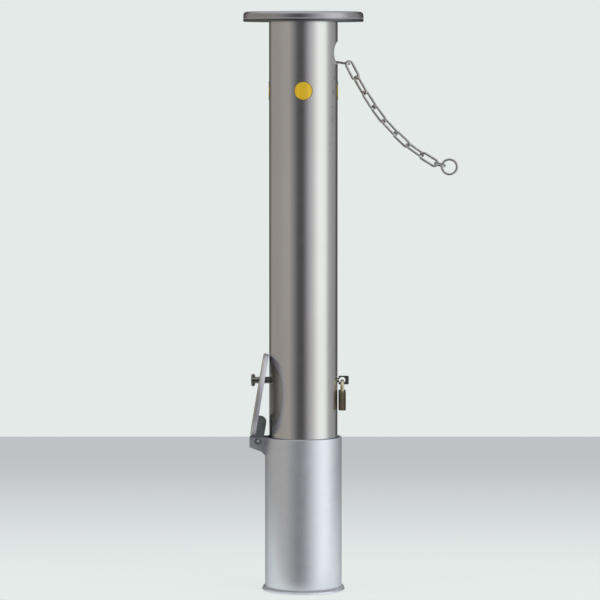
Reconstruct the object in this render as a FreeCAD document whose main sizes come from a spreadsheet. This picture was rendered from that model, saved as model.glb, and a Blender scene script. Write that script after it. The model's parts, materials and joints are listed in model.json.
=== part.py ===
import FreeCAD, Part
import Sketcher
import math
import os
import re

# Removable bollard: a steel post that stands in a ground sleeve, locked through its leaning lid.
# Origin: centre of the base plate's underside. +Z is up, the lid is on the -X side, the chain on +X.
# Lengths are millimetres.
SIZES = {
    # ground sleeve
    "sleeve_outer": 114.3,
    "sleeve_wall": 3.5,
    "rim_height": 229.5,
    "rim_round": 0.8,
    "plate_diameter": 123.6,
    "plate_thick": 3.2,
    "plate_round": 1.3,
    "foot_weld": 3.6,
    "drain_diameter": 12,
    "drain_ring": 60,
    "drain_count": 3,
    # post
    "post_outer": 101.6,
    "post_wall": 2,
    "post_length": 842.4,
    "chain_gate_width": 46,
    "chain_gate_tall": 33,
    "chain_gate_drop": 45.8,
    # flat head
    "head_diameter": 178,
    "head_cap_thick": 11.2,
    "head_wall": 3,
    "head_corner": 5,
    "head_crown": 1,
    "head_bevel": 0.8,
    "head_plate_thick": 4.3,
    "spigot_depth": 12,
    "spigot_wall": 3,
    "spigot_gap": 0.1,
    # reflectors
    "dot_diameter": 27.3,
    "dot_thick": 0.6,
    "dot_drop": 101.6,
    # lid hinge
    "pin_margin": 4.8,
    "pin_drop": 5.5,
    "pin_diameter": 6,
    "pin_head_diameter": 9.4,
    "pin_head_thick": 2.4,
    "pin_tail": 3,
    "pin_play": 0.06,
    "clip_diameter": 10,
    "clip_thick": 0.8,
    "ear_nose": 12.9,
    "ear_thick": 5,
    "ear_left_drop": 14.7,
    "ear_foot_drop": 21.3,
    "ear_root_drop": 26.5,
    "ear_foot_reach": 62.6,
    "arm_width": 20,
    "arm_play": 0.4,
    "arm_reach": 35.7,
    "arm_share": 0.46,
    "arm_nose": 9,
    # lid
    "lid_diameter": 125,
    "lid_plate_thick": 3.2,
    "lid_ring_thick": 4.8,
    "lid_ring_width": 12.5,
    "lid_step": 0.5,
    "lid_corner": 3,
    "lid_slot_width": 13,
    "lean_gap": 0.3,
    "post_lift": 3,
    # lock rod
    "rod_rise": 84.3,
    "rod_diameter": 10,
    "rod_hole_play": 0.5,
    "rod_rest_gap": 0.1,
    "rod_slot_play": 2,
    "rod_neck_diameter": 8.8,
    "rod_neck_length": 0.8,
    "rod_hub_length": 7.6,
    "rod_hub_reach": 77.8,
    "cross_length": 18.8,
    "cross_diameter": 5.8,
    "eye_width": 12.7,
    "eye_thick": 4.6,
    "eye_hole": 9.5,
    "eye_margin": 7,
    "eye_nose": 9.7,
    "eye_length": 15.2,
    "eye_corner": 1.3,
    "eye_neck": 9,
    # padlock
    "shackle_wire": 5.3,
    "shackle_spread": 18.4,
    "shackle_play": 0.1,
    "shackle_drop": 13.7,
    "shackle_heel_depth": 21,
    "shackle_toe_depth": 7,
    "padlock_width": 30,
    "padlock_tall": 29.2,
    "padlock_deep": 10.9,
    "padlock_round": 2,
    "padlock_corner": 2.6,
    "plug_diameter": 7.6,
    "plug_depth": 16,
    "plug_proud": 0.4,
    "key_slot_width": 1.4,
    "key_slot_long": 5.2,
    "leg_play": 0.15,
    # chain
    "chain_wire": 3.5,
    "link_pitch": 25.25,
    "link_play": 0.3,
    "link_inner_width": 6.7,
    "connector_pitch": 10.9,
    "ring_outer": 25.7,
    "hook_wire": 5,
    "hook_reach": 43,
    "hook_foot_drop": 20,
    "hook_rise": 6,
    "hook_tip_radius": 5.5,
    "hook_tip_turn": 110,
    "chain_start_drop": 58.5,
}

# how the chain hangs: slope below level and turn about its own line, in degrees, link by link
CHAIN_SLOPES = [8, 62.6, 60.3, 57.8, 53.3, 47.1, 43.9, 35.5, 31.6]
CHAIN_TURNS = [90, -15, 53, -40, 40, -50, 34, -56, 18]
CONNECTOR_SLOPE = 14.3
CONNECTOR_TURN = -76
RING_SLOPE = 13
RING_TURN = 8
# pieces whose near wire is the pin, because the piece before them is the flatter one
FLAT_AFTER = (2, 3, 5, 7, 9)

doc = FreeCAD.newDocument("removable_bollard")
sheet = doc.addObject("Spreadsheet::Sheet", "sizes")
for row, (alias, size) in enumerate(SIZES.items(), start=1):
    sheet.set(f"A{row}", alias)
    sheet.set(f"B{row}", str(size))
    sheet.setAlias(f"B{row}", alias)
doc.recompute()

# two lengths nearer than this are the same, and a cut that takes less than this took nothing
SAME = 0.01

UP = FreeCAD.Vector(0, 0, 1)
ALONG = FreeCAD.Vector(1, 0, 0)
ACROSS = FreeCAD.Vector(0, 1, 0)
parts = []


def value(formula):
    """The number that a formula of named sizes gives."""
    return float(sheet.evalExpression(str(formula)))


def bound(formula):
    """The formula as another object reads it, with the sheet's name before each size."""
    return re.sub(r"[a-z]+(?:_[a-z]+)+", r"sizes.\g<0>", str(formula))


def bind(thing, prop, formula):
    thing.setExpression(prop, bound(formula))


def keep(thing, label):
    """Count an object as a finished sub-part of the bollard."""
    thing.Label = label
    parts.append(thing)
    return thing


def turn(axis, degrees):
    return FreeCAD.Rotation(axis, degrees)


def new_body(name):
    return doc.addObject("PartDesign::Body", name)


def new_sketch(body, plane, lift="0"):
    drawing = body.newObject("Sketcher::SketchObject", body.Name + "_sketch")
    origin = [feature for feature in body.Origin.OriginFeatures if feature.Role == plane]
    drawing.AttachmentSupport = [(origin[0], "")]
    drawing.MapMode = "FlatFace"
    bind(drawing, "AttachmentOffset.Base.z", lift)
    return drawing


def fix_point(drawing, shape, end, across, up):
    """Hold one point of a drawing at two formulas, measured from its origin."""
    for kind, formula in (("DistanceX", across), ("DistanceY", up)):
        place = Sketcher.Constraint(kind, -1, 1, shape, end, value(formula))
        bind(drawing, f"Constraints[{drawing.addConstraint(place)}]", formula)


def draw_circle(drawing, across, up, radius):
    centre = FreeCAD.Vector(value(across), value(up), 0)
    shape = drawing.addGeometry(Part.Circle(centre, UP, value(radius)))
    fix_point(drawing, shape, 3, across, up)
    limit = drawing.addConstraint(Sketcher.Constraint("Radius", shape, value(radius)))
    bind(drawing, f"Constraints[{limit}]", radius)


def draw_outline(drawing, corners):
    """A closed outline of straight lines; each corner is a pair of formulas."""
    points = [FreeCAD.Vector(value(across), value(up), 0) for across, up in corners]
    first = drawing.GeometryCount
    for start, end in zip(points, points[1:] + points[:1]):
        drawing.addGeometry(Part.LineSegment(start, end))
    for index, (across, up) in enumerate(corners):
        following = first + (index + 1) % len(corners)
        drawing.addConstraint(Sketcher.Constraint("Coincident", first + index, 2, following, 1))
        fix_point(drawing, first + index, 1, across, up)


def draw_slot(drawing, across, up, half_run, radius, level=True):
    """A rounded slot: two straight sides half_run each way from the middle, and two half circles."""
    run = FreeCAD.Vector(1, 0, 0) if level else FreeCAD.Vector(0, 1, 0)
    side = FreeCAD.Vector(-run.y, run.x, 0)
    middle = FreeCAD.Vector(value(across), value(up), 0)
    far, wide = value(half_run), value(radius)
    ends = [middle + run * far, middle - run * far]
    first = drawing.GeometryCount
    for sign, centre in zip((1, -1), ends):
        around = centre + run * wide * sign
        arc = Part.Arc(centre - side * wide * sign, around, centre + side * wide * sign)
        drawing.addGeometry(arc)
    drawing.addGeometry(Part.LineSegment(ends[0] + side * wide, ends[1] + side * wide))
    drawing.addGeometry(Part.LineSegment(ends[1] - side * wide, ends[0] - side * wide))
    for arc, arc_end, line, line_end in ((0, 2, 2, 1), (2, 2, 1, 1), (1, 2, 3, 1), (3, 2, 0, 1)):
        joint = Sketcher.Constraint("Tangent", first + arc, arc_end, first + line, line_end)
        drawing.addConstraint(joint)
    shifts = (f"({half_run})", f"-({half_run})")
    for arc, shift in enumerate(shifts):
        place = (f"({across}) + {shift}", up) if level else (across, f"({up}) + {shift}")
        fix_point(drawing, first + arc, 3, *place)
    limit = drawing.addConstraint(Sketcher.Constraint("Radius", first, wide))
    bind(drawing, f"Constraints[{limit}]", radius)


def pad(body, drawing, length, symmetric=False):
    feature = body.newObject("PartDesign::Pad", body.Name + "_pad")
    feature.Profile = drawing
    bind(feature, "Length", length)
    if symmetric:
        feature.SideType = "Symmetric"
    doc.recompute()
    return feature


def pocket(body, drawing, length, symmetric=False, flip=False):
    """Cut a drawing into the body, and make sure that it took something away."""
    before = body.Shape.Volume
    feature = body.newObject("PartDesign::Pocket", body.Name + "_pocket")
    feature.Profile = drawing
    bind(feature, "Length", length)
    if symmetric:
        feature.SideType = "Symmetric"
    feature.Reversed = flip
    doc.recompute()
    assert body.Shape.Volume < before - SAME, feature.Name
    return feature


def revolve(body, drawing, axis="V_Axis"):
    feature = body.newObject("PartDesign::Revolution", body.Name + "_turned")
    feature.Profile = drawing
    feature.ReferenceAxis = (drawing, [axis])
    feature.Angle = 360
    doc.recompute()
    return feature


def edges_where(shape, wanted):
    """Names of the edges whose middle point meets a test."""
    names = []
    for index, edge in enumerate(shape.Edges, start=1):
        middle = edge.valueAt((edge.FirstParameter + edge.LastParameter) / 2)
        if wanted(edge, middle):
            names.append(f"Edge{index}")
    return names


def dress(body, kind, prop, size, wanted):
    """Fillet or chamfer the chosen edges of a body."""
    base = body.Tip
    feature = body.newObject("PartDesign::" + kind, body.Name + "_" + kind.lower())
    feature.Base = (base, edges_where(base.Shape, wanted))
    bind(feature, prop, size)
    doc.recompute()
    return feature


def primitive(kind, name, **sizes):
    thing = doc.addObject("Part::" + kind, name)
    for prop, formula in sizes.items():
        bind(thing, prop, formula)
    return thing


def move(thing, across="0", depth="0", up="0", rotation=None):
    """Place an object at three formulas, after an optional turn."""
    if rotation:
        thing.Placement = FreeCAD.Placement(FreeCAD.Vector(), rotation)
    for axis, formula in zip("xyz", (across, depth, up)):
        bind(thing, f"Placement.Base.{axis}", formula)
    return thing


def join(name, shapes):
    fused = doc.addObject("Part::MultiFuse", name)
    fused.Shapes = shapes
    fused.Refine = True
    doc.recompute()
    return fused


def cut(name, base, tool):
    piece = doc.addObject("Part::Cut", name)
    piece.Base = base
    piece.Tool = tool
    doc.recompute()
    return piece


# levels and reaches that several pieces share
PIN_HEIGHT = "rim_height - pin_drop"
PIN_REACH = "(lid_diameter / 2 + pin_margin)"
EAR_REACH = f"({PIN_REACH} + ear_nose)"
EYE_REACH = "(post_outer / 2 + eye_margin)"
ROD_LEVEL = "(rim_height + rod_rise)"
POST_TOP = "plate_thick + post_length"
DOT_LEVEL = f"({POST_TOP} - dot_drop)"
GATE_LEVEL = f"({POST_TOP} - chain_gate_drop)"
CHAIN_LEVEL = f"({POST_TOP} - chain_start_drop)"


# ground sleeve

# the lid's arm reaches past the pin by a share of the gap between pin and post
ARM_DEEP = f"(({PIN_REACH} - post_outer / 2) * arm_share)"
NOTCH_WIDTH = "arm_width + 2 * arm_play"
NOTCH_DEEP = f"pin_drop + {ARM_DEEP} + 3 * arm_play"


def make_base_plate():
    body = new_body("base_plate")
    drawing = new_sketch(body, "XY_Plane")
    draw_circle(drawing, "0", "0", "plate_diameter / 2")
    pad(body, drawing, "plate_thick")
    drain = new_sketch(body, "XY_Plane")
    draw_circle(drain, "drain_ring / 2", "0", "drain_diameter / 2")
    hole = pocket(body, drain, "plate_thick", flip=True)
    around = body.newObject("PartDesign::PolarPattern", "drain_pattern")
    around.Originals = [hole]
    around.Axis = (drain, ["N_Axis"])
    around.Angle = 360
    bind(around, "Occurrences", "drain_count")
    body.Tip = around
    doc.recompute()
    rim = value("plate_diameter / 2")
    dress(body, "Fillet", "Radius", "plate_round",
          lambda edge, middle: edge.isClosed() and abs(math.hypot(middle.x, middle.y) - rim) < SAME)
    keep(body, "base_plate")


def make_sleeve_tube():
    body = new_body("sleeve_tube")
    ring = new_sketch(body, "XY_Plane", "plate_thick")
    draw_circle(ring, "0", "0", "sleeve_outer / 2")
    draw_circle(ring, "0", "0", "sleeve_outer / 2 - sleeve_wall")
    pad(body, ring, "rim_height - plate_thick")
    rim = value("rim_height")
    dress(body, "Fillet", "Radius", "rim_round",
          lambda edge, middle: abs(middle.z - rim) < SAME)
    notch = new_sketch(body, "XZ_Plane")
    left, right = "-sleeve_outer", "-sleeve_outer / 4"
    top, floor = "rim_height + rim_round", f"rim_height - ({NOTCH_DEEP})"
    draw_outline(notch, [(left, floor), (right, floor), (right, top), (left, top)])
    pocket(body, notch, NOTCH_WIDTH, symmetric=True)
    weld = new_sketch(body, "XZ_Plane")
    wall = "sleeve_outer / 2"
    draw_outline(weld, [
        (f"{wall} - sleeve_wall / 2", "plate_thick"),
        (f"{wall} + foot_weld", "plate_thick"),
        (wall, "plate_thick + foot_weld"),
        (f"{wall} - sleeve_wall / 2", "plate_thick + foot_weld"),
    ])
    revolve(body, weld)
    keep(body, "sleeve_tube")


def make_ear(side, name):
    body = new_body(name + "_blank")
    drawing = new_sketch(body, "XZ_Plane")
    inner = "-sleeve_outer / 2 + sleeve_wall * 2"
    root = "rim_height - ear_root_drop"
    draw_outline(drawing, [
        (f"-{EAR_REACH}", "rim_height"),
        (f"-{EAR_REACH}", "rim_height - ear_left_drop"),
        ("-ear_foot_reach", "rim_height - ear_foot_drop"),
        ("-sleeve_outer / 2", root),
        (inner, root),
        (inner, "rim_height"),
    ])
    draw_circle(drawing, f"-{PIN_REACH}", PIN_HEIGHT, "pin_diameter / 2")
    pad(body, drawing, "ear_thick", symmetric=True)
    left, foot = -value(EAR_REACH), -value("ear_foot_reach")
    dress(body, "Fillet", "Radius", "ear_thick / 2",
          lambda edge, middle: abs(middle.y) < SAME and abs(middle.x - left) < SAME)
    dress(body, "Fillet", "Radius", "ear_thick",
          lambda edge, middle: abs(middle.y) < SAME and abs(middle.x - foot) < SAME)
    move(body, depth=f"{side} * (arm_width / 2 + arm_play + ear_thick / 2)")
    tube = primitive("Cylinder", name + "_seat", Radius="sleeve_outer / 2", Height="rim_height * 2")
    keep(cut(name, body, tube), name)


def make_hinge_pin():
    body = new_body("hinge_pin")
    drawing = new_sketch(body, "XY_Plane")
    grip = "arm_width / 2 + arm_play + ear_thick"
    crown = "pin_head_diameter / 4"
    groove = "pin_diameter / 2 - clip_thick / 2"
    shank = "pin_diameter / 2"
    tail = f"{grip} + pin_tail"
    # half outline of the pin: head at the front (-Y), groove for the clip near its tail
    draw_outline(drawing, [
        ("0", f"-({grip}) - pin_head_thick"),
        (crown, f"-({grip}) - pin_head_thick"),
        ("pin_head_diameter / 2", f"-({grip}) - pin_head_thick / 2"),
        ("pin_head_diameter / 2", f"-({grip})"),
        (shank, f"-({grip})"),
        (shank, grip),
        (groove, grip),
        (groove, f"{grip} + clip_thick"),
        (shank, f"{grip} + clip_thick"),
        (shank, f"{tail} - clip_thick"),
        (groove, tail),
        ("0", tail),
    ])
    revolve(body, drawing)
    move(body, f"-{PIN_REACH}", "0", PIN_HEIGHT)
    keep(body, "hinge_pin")


def make_pin_clip():
    """Split ring that snaps into the pin's groove behind the rear ear."""
    body = new_body("pin_clip")
    drawing = new_sketch(body, "XZ_Plane")
    draw_circle(drawing, "0", "0", "clip_diameter / 2")
    draw_circle(drawing, "0", "0", "pin_diameter / 2 - clip_thick / 2")
    pad(body, drawing, "clip_thick")
    split = new_sketch(body, "XZ_Plane")
    half = "clip_thick"
    draw_outline(split, [(f"-{half}", "-clip_diameter"), (half, "-clip_diameter"),
                         (half, "0"), (f"-{half}", "0")])
    pocket(body, split, "clip_thick", flip=True)
    move(body, f"-{PIN_REACH}", "arm_width / 2 + arm_play + ear_thick + clip_thick", PIN_HEIGHT)
    keep(body, "pin_clip")


# lid, drawn shut over the sleeve with the hinge line at its origin, then leaned on the post

LID_THICK = "lid_plate_thick + lid_ring_thick"
LID_REACH = f"{PIN_REACH} + lid_diameter / 2"


def lid_lean():
    """Degrees from upright at which the lid's far edge meets the post."""
    reach, offset = value(LID_REACH + " - lid_step"), value("pin_drop")
    gap = value(f"{PIN_REACH} - post_outer / 2 - lean_gap")
    return math.degrees(math.asin(gap / math.hypot(reach, offset)) + math.atan2(offset, reach))


def place_on_lid(thing):
    """Swing a lid piece up from shut to where it leans on the post."""
    move(thing, f"-{PIN_REACH}", "0", PIN_HEIGHT, turn(ACROSS, lid_lean() - 90))


def lid_slot_ends():
    """Nearest and farthest reach of the slot that lets the lock rod through the leaning plate."""
    lean = math.radians(lid_lean())
    rise = value(f"{ROD_LEVEL} - ({PIN_HEIGHT})")
    play = value("rod_slot_play")
    half = value("rod_diameter / 2") / math.cos(lean)
    outer = (rise - value(f"pin_drop + {LID_THICK}") * math.sin(lean)) / math.cos(lean)
    inner = (rise - value("pin_drop + lid_ring_thick") * math.sin(lean)) / math.cos(lean)
    return outer - half - play, inner + half + play + value("post_lift")


def make_lid_plate():
    body = new_body("lid_plate")
    disc = new_sketch(body, "XY_Plane", "pin_drop + lid_ring_thick")
    draw_circle(disc, PIN_REACH, "0", "lid_diameter / 2")
    pad(body, disc, "lid_plate_thick")
    top = value(f"pin_drop + {LID_THICK}")
    dress(body, "Fillet", "Radius", "lid_corner",
          lambda edge, middle: abs(middle.z - top) < SAME)
    slot = new_sketch(body, "XY_Plane", "pin_drop")
    near, far = lid_slot_ends()
    radius = value("lid_slot_width / 2")
    draw_slot(slot, (near + far) / 2, "0", (far - near) / 2 - radius, "lid_slot_width / 2")
    pocket(body, slot, f"2 * ({LID_THICK})", flip=True)
    place_on_lid(body)
    keep(body, "lid_plate")


def make_lid_ring():
    body = new_body("lid_ring")
    ring = new_sketch(body, "XY_Plane", "pin_drop")
    draw_circle(ring, PIN_REACH, "0", "lid_diameter / 2 - lid_step")
    draw_circle(ring, PIN_REACH, "0", "lid_diameter / 2 - lid_ring_width")
    pad(body, ring, "lid_ring_thick")
    floor = value("pin_drop")
    dress(body, "Chamfer", "Size", "lid_step",
          lambda edge, middle: abs(middle.z - floor) < SAME)
    gap = new_sketch(body, "XY_Plane", "pin_drop")
    half = "arm_width / 2"
    draw_outline(gap, [("0", f"-{half}"), ("arm_reach", f"-{half}"), ("arm_reach", half), ("0", half)])
    pocket(body, gap, "lid_ring_thick", flip=True)
    place_on_lid(body)
    keep(body, "lid_ring")


def make_lid_arm():
    """Hinge arm under the lid, with the pin's bore at its root."""
    body = new_body("lid_arm")
    drawing = new_sketch(body, "XZ_Plane")
    root = "pin_diameter / 2 + arm_play + ear_thick / 2"
    near = "pin_margin + lid_step * 3"
    draw_outline(drawing, [
        (f"-({root})", f"-{ARM_DEEP} / 3"),
        (f"-({root}) * 2 / 3", f"-{ARM_DEEP}"),
        ("arm_reach", f"-{ARM_DEEP}"),
        ("arm_reach", "pin_drop + lid_ring_thick"),
        (near, "pin_drop + lid_ring_thick"),
        (near, "pin_drop - arm_play"),
        (f"-({root})", "pin_diameter / 2"),
    ])
    draw_circle(drawing, "0", "0", "pin_diameter / 2 + pin_play")
    pad(body, drawing, "arm_width", symmetric=True)
    deep, reach = -value(ARM_DEEP), value("arm_reach")
    dress(body, "Fillet", "Radius", "arm_nose",
          lambda edge, middle: abs(middle.y) < SAME and abs(middle.z - deep) < SAME
          and abs(middle.x - reach) < SAME)
    place_on_lid(body)
    keep(body, "lid_arm")


# post

ROD_HOLE = "eye_width / 2 + rod_hole_play"
ROD_HOLE_HEIGHT = f"{ROD_LEVEL} - rod_diameter / 2 - rod_rest_gap + {ROD_HOLE}"


def make_post_tube():
    body = new_body("post_tube")
    ring = new_sketch(body, "XY_Plane", "plate_thick")
    draw_circle(ring, "0", "0", "post_outer / 2")
    draw_circle(ring, "0", "0", "post_outer / 2 - post_wall")
    pad(body, ring, "post_length")
    gate = new_sketch(body, "YZ_Plane")
    radius = "chain_gate_tall / 2"
    draw_slot(gate, "0", GATE_LEVEL, f"chain_gate_width / 2 - {radius}", radius)
    pocket(body, gate, "post_outer", flip=True)
    holes = new_sketch(body, "YZ_Plane")
    draw_circle(holes, "0", ROD_HOLE_HEIGHT, ROD_HOLE)
    pocket(body, holes, "post_outer * 2", symmetric=True)
    keep(body, "post_tube")


def make_head_plate():
    """Flat disc that carries the cap, with a collar that fits inside the post."""
    body = new_body("head_plate")
    drawing = new_sketch(body, "XZ_Plane")
    rim, inner = "head_diameter / 2", "post_outer / 2 - post_wall - spigot_gap"
    low, high = POST_TOP, f"{POST_TOP} + head_plate_thick"
    collar = f"{POST_TOP} - spigot_depth"
    draw_outline(drawing, [
        ("0", low), (f"{inner} - spigot_wall", low), (f"{inner} - spigot_wall", collar),
        (inner, collar), (inner, low), (f"{rim} - head_bevel", low), (rim, f"{low} + head_bevel"),
        (rim, f"{high} - head_bevel"), (f"{rim} - head_bevel", high), ("0", high),
    ])
    revolve(body, drawing)
    keep(body, "head_plate")


def make_head_cap():
    """Rounded cap with a slightly crowned top."""
    body = new_body("head_cap")
    drawing = new_sketch(body, "XZ_Plane")
    rim = "head_diameter / 2"
    low = f"{POST_TOP} + head_plate_thick"
    top = f"{low} + head_cap_thick"
    shoulder = f"{top} - head_crown"
    draw_outline(drawing, [
        (f"{rim} - head_wall", low), (f"{rim} - head_bevel", low), (rim, f"{low} + head_bevel"),
        (f"{rim} - head_bevel / 2", shoulder), ("0", top), ("0", f"{top} - head_wall"),
        (f"{rim} - head_wall - head_bevel / 2", f"{shoulder} - head_wall"),
    ])
    revolve(body, drawing)
    for size, depth in (("head_corner", "0"), ("head_corner - head_wall", "head_wall")):
        level = value(f"{shoulder} - {depth}")
        dress(body, "Fillet", "Radius", size,
              lambda edge, middle: abs(middle.z - level) < SAME and edge.isClosed())
    keep(body, "head_cap")


def make_reflector(name, degrees):
    """Round reflector, curved to lie on the post."""
    shell = primitive("Cylinder", name + "_outer", Radius="post_outer / 2 + dot_thick",
                      Height="dot_diameter * 2")
    move(shell, up=f"{DOT_LEVEL} - dot_diameter")
    core = primitive("Cylinder", name + "_inner", Radius="post_outer / 2", Height="dot_diameter * 2")
    move(core, up=f"{DOT_LEVEL} - dot_diameter")
    disc = primitive("Cylinder", name + "_disc", Radius="dot_diameter / 2", Height="post_outer")
    disc.Placement = FreeCAD.Placement(FreeCAD.Vector(), turn(UP, degrees) * turn(ACROSS, 90))
    bind(disc, "Placement.Base.z", DOT_LEVEL)
    dot = doc.addObject("Part::Common", name)
    dot.Base = cut(name + "_wall", shell, core)
    dot.Tool = disc
    doc.recompute()
    keep(dot, name)


def bar(name, diameter, length, place, rotation):
    rod = primitive("Cylinder", name, Radius=f"({diameter}) / 2", Height=length)
    return move(rod, *place, rotation)


def bend(name, radius, diameter, degrees, place, rotation):
    curve = primitive("Torus", name, Radius1=radius, Radius2=f"({diameter}) / 2", Angle3=degrees)
    return move(curve, *place, rotation)


def make_chain_hook():
    """Round bar welded to the inside of the post below the gate, bent up and back at its tip.

    Its flat end is set where its two sides meet the round wall.
    """
    wall = "(post_outer / 2 - post_wall)"
    inner = f"sqrt({wall} * {wall} - hook_wire * hook_wire / 4)"
    bow = f"{inner} - hook_reach"
    foot = f"{GATE_LEVEL} - chain_gate_tall / 2 - hook_foot_drop"
    top = f"{CHAIN_LEVEL} + hook_rise"
    low = bend("hook_foot", bow, "hook_wire", "90", (inner, "0", f"{foot} + {bow}"),
               turn(ALONG, -90) * turn(UP, 90))
    stem = bar("hook_stem", "hook_wire", f"{top} - ({foot} + {bow})",
               ("hook_reach", "0", f"{foot} + {bow}"), turn(UP, 0))
    tip = bend("hook_tip", "hook_tip_radius", "hook_wire", "hook_tip_turn",
               ("hook_reach - hook_tip_radius", "0", top), turn(ALONG, 90))
    keep(join("chain_hook", [low, stem, tip]), "chain_hook")


# lock rod and padlock

CROSS_PLACE = "-rod_hub_reach + rod_hub_length / 2 - rod_neck_length"


def make_lock_rod():
    """Turned rod with a neck and a hub at one end and a flat eye at the other."""
    body = new_body("lock_rod")
    drawing = new_sketch(body, "XZ_Plane")
    radius, neck = "rod_diameter / 2", "rod_neck_diameter / 2"
    hub = "-rod_hub_reach + rod_hub_length"
    edge = "-rod_hub_reach"
    bevel = "rod_neck_length"
    tail = f"{EYE_REACH} - eye_neck"
    axis = ROD_LEVEL
    draw_outline(drawing, [
        (edge, axis), (edge, f"{axis} + {radius} - {bevel}"), (f"{edge} + {bevel}", f"{axis} + {radius}"),
        (hub, f"{axis} + {radius}"), (hub, f"{axis} + {neck}"), (f"{hub} + {bevel}", f"{axis} + {neck}"),
        (f"{hub} + {bevel}", f"{axis} + {radius}"), (tail, f"{axis} + {radius}"),
        (f"{tail} + eye_neck / 2", f"{axis} + eye_thick / 2"), (f"{tail} + eye_neck / 2", axis),
    ])
    feature = body.newObject("PartDesign::Revolution", "lock_rod_turned")
    feature.Profile = drawing
    feature.ReferenceAxis = (drawing, [f"Edge{drawing.GeometryCount}"])
    feature.Angle = 360
    doc.recompute()
    tab = new_sketch(body, "XZ_Plane")
    nose = f"{EYE_REACH} + eye_nose"
    low, high = f"{axis} - eye_width / 2", f"{axis} + eye_width / 2"
    draw_outline(tab, [(f"{nose} - eye_length", low), (nose, low), (nose, high),
                       (f"{nose} - eye_length", high)])
    pad(body, tab, "eye_thick", symmetric=True)
    level, half = value(axis), value("eye_width / 2")
    dress(body, "Fillet", "Radius", "eye_corner",
          lambda edge, middle: abs(middle.y) < SAME and abs(abs(middle.z - level) - half) < SAME)
    holes = new_sketch(body, "XZ_Plane")
    draw_circle(holes, EYE_REACH, axis, "eye_hole / 2")
    pocket(body, holes, "rod_diameter * 2", symmetric=True)
    cross = new_sketch(body, "XY_Plane", axis)
    draw_circle(cross, CROSS_PLACE, "0", "cross_diameter / 2")
    pocket(body, cross, "rod_diameter * 2", symmetric=True)
    keep(body, "lock_rod")


def make_cross_bar():
    """Upright grip bar through the rod's hub, rounded at both ends."""
    straight = "(cross_length - cross_diameter)"
    stem = bar("cross_stem", "cross_diameter", straight,
               (CROSS_PLACE, "0", f"{ROD_LEVEL} - {straight} / 2"), turn(UP, 0))
    balls = []
    for name, side in (("cross_low", "-1"), ("cross_high", "1")):
        ball = primitive("Sphere", name, Radius="cross_diameter / 2")
        balls.append(move(ball, CROSS_PLACE, "0", f"{ROD_LEVEL} + {side} * {straight} / 2"))
    keep(join("rod_cross_bar", [stem] + balls), "rod_cross_bar")


EYE_FLOOR = f"{ROD_LEVEL} - eye_hole / 2"
BOW_INNER = "(shackle_spread - shackle_wire) / 2"
SHACKLE_SAG = f"{BOW_INNER} - sqrt({BOW_INNER} * {BOW_INNER} - eye_thick * eye_thick / 4)"
SHACKLE_AXIS = f"{EYE_FLOOR} + shackle_wire / 2 + {SHACKLE_SAG} + shackle_play"
SHACKLE_BOW = f"{SHACKLE_AXIS} - shackle_spread / 2"
PADLOCK_TOP = f"{SHACKLE_AXIS} - shackle_drop"


def make_shackle():
    """Bow in the rod's eye, with a long heel leg and a short toe leg in the padlock."""
    crown = bend("shackle_bow", "shackle_spread / 2", "shackle_wire", "180",
                 (EYE_REACH, "0", SHACKLE_BOW), turn(UP, 90) * turn(ALONG, 90))
    legs = []
    for name, side, depth in (("shackle_heel", "1", "shackle_heel_depth"),
                              ("shackle_toe", "-1", "shackle_toe_depth")):
        length = f"{SHACKLE_BOW} - ({PADLOCK_TOP}) + {depth}"
        place = (EYE_REACH, f"{side} * shackle_spread / 2", f"{PADLOCK_TOP} - {depth}")
        legs.append(bar(name, "shackle_wire", length, place, turn(UP, 0)))
    keep(join("padlock_shackle", [crown] + legs), "padlock_shackle")


def make_padlock_body():
    body = new_body("padlock_body")
    drawing = new_sketch(body, "YZ_Plane")
    half, top = "padlock_width / 2", "0"
    draw_outline(drawing, [(f"-{half}", "-padlock_tall"), (half, "-padlock_tall"),
                           (half, top), (f"-{half}", top)])
    pad(body, drawing, "padlock_deep", symmetric=True)
    wide = value(half)
    dress(body, "Fillet", "Radius", "padlock_corner",
          lambda edge, middle: abs(middle.x) < SAME and abs(abs(middle.y) - wide) < SAME)
    thick = value("padlock_deep / 2")
    dress(body, "Fillet", "Radius", "padlock_round",
          lambda edge, middle: abs(abs(middle.x) - thick) < SAME)
    for side, depth in (("1", "shackle_heel_depth"), ("-1", "shackle_toe_depth")):
        bore = new_sketch(body, "XY_Plane")
        draw_circle(bore, "0", f"{side} * shackle_spread / 2", "shackle_wire / 2 + leg_play / 2")
        pocket(body, bore, f"{depth} + leg_play")
    seat = new_sketch(body, "XY_Plane", "-padlock_tall")
    draw_circle(seat, "0", "0", "plug_diameter / 2")
    pocket(body, seat, "plug_depth", flip=True)
    move(body, EYE_REACH, "0", PADLOCK_TOP)
    keep(body, "padlock_body")


def make_padlock_plug():
    body = new_body("padlock_plug")
    drawing = new_sketch(body, "XY_Plane")
    draw_circle(drawing, "0", "0", "plug_diameter / 2")
    pad(body, drawing, "plug_depth + plug_proud")
    slot = new_sketch(body, "XY_Plane")
    half = "key_slot_long / 2 - key_slot_width / 2"
    draw_slot(slot, "0", "0", half, "key_slot_width / 2", level=False)
    pocket(body, slot, "plug_depth", flip=True)
    move(body, EYE_REACH, "0", f"{PADLOCK_TOP} - padlock_tall - plug_proud")
    keep(body, "padlock_plug")


# chain

def make_link(name, pitch):
    """Welded link: two half rounds and two straight sides, centred, long way along X."""
    spread = "(link_inner_width + chain_wire) / 2"
    half_run = f"({pitch} + link_play - link_inner_width) / 2"
    pieces = []
    for side, degrees in (("1", -90), ("-1", 90)):
        pieces.append(bend(f"{name}_bow", spread, "chain_wire", "180",
                           (f"{side} * {half_run}", "0", "0"), turn(UP, degrees)))
        pieces.append(bar(f"{name}_side", "chain_wire", f"2 * {half_run}",
                          (f"-({half_run})", f"{side} * {spread}", "0"), turn(ACROSS, 90)))
    return join(name, pieces)


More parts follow.
